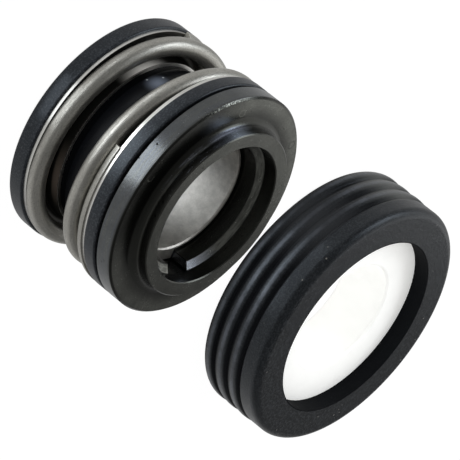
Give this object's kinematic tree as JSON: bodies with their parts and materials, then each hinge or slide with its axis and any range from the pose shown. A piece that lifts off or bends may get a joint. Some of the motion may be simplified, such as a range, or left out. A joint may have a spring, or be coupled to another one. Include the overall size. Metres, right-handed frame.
{
  "type": "component mechanical seal",
  "caption": "Shaft seal in two units: a spring-loaded rubber bellows head with a carbon face ring, and a ceramic seat in a ribbed rubber cup.",
  "frame": {"origin": "centre of the shaft bore at the head's rear face, which stands on the surface", "axes": "+Z along the shaft bore towards the carbon nose, +Y from the head towards the seat lying beside it"},
  "size_m": [0.0404, 0.1078, 0.0214],
  "materials": {
    "bellows_rubber": "moulded black rubber, satin",
    "stainless_strip": "pressed stainless strip",
    "spring_wire": "drawn stainless wire, satin",
    "sleeve_steel": "tumbled stainless, satin",
    "carbon": "lapped carbon graphite, semi-matt",
    "cup_rubber": "moulded black rubber, satin",
    "alumina": "white alumina, lapped face"
  },
  "bodies": {
    "tail_unit": {"bellows": "bellows_rubber", "rear_angle_ring": "stainless_strip", "spring": "spring_wire", "seat_cup": "cup_rubber", "seat_ring": "alumina"},
    "face_unit": {"front_angle_ring": "stainless_strip", "drive_sleeve": "sleeve_steel", "carbon_ring": "carbon"}
  },
  "joints": [
    {"name": "face_travel", "type": "slide", "parent": "tail_unit", "child": "face_unit", "axis": [0, 0, -1], "range_m": [0, 0.0025], "stiffness_N_per_m": 8000, "deforming": ["spring", "bellows"]}
  ]
}
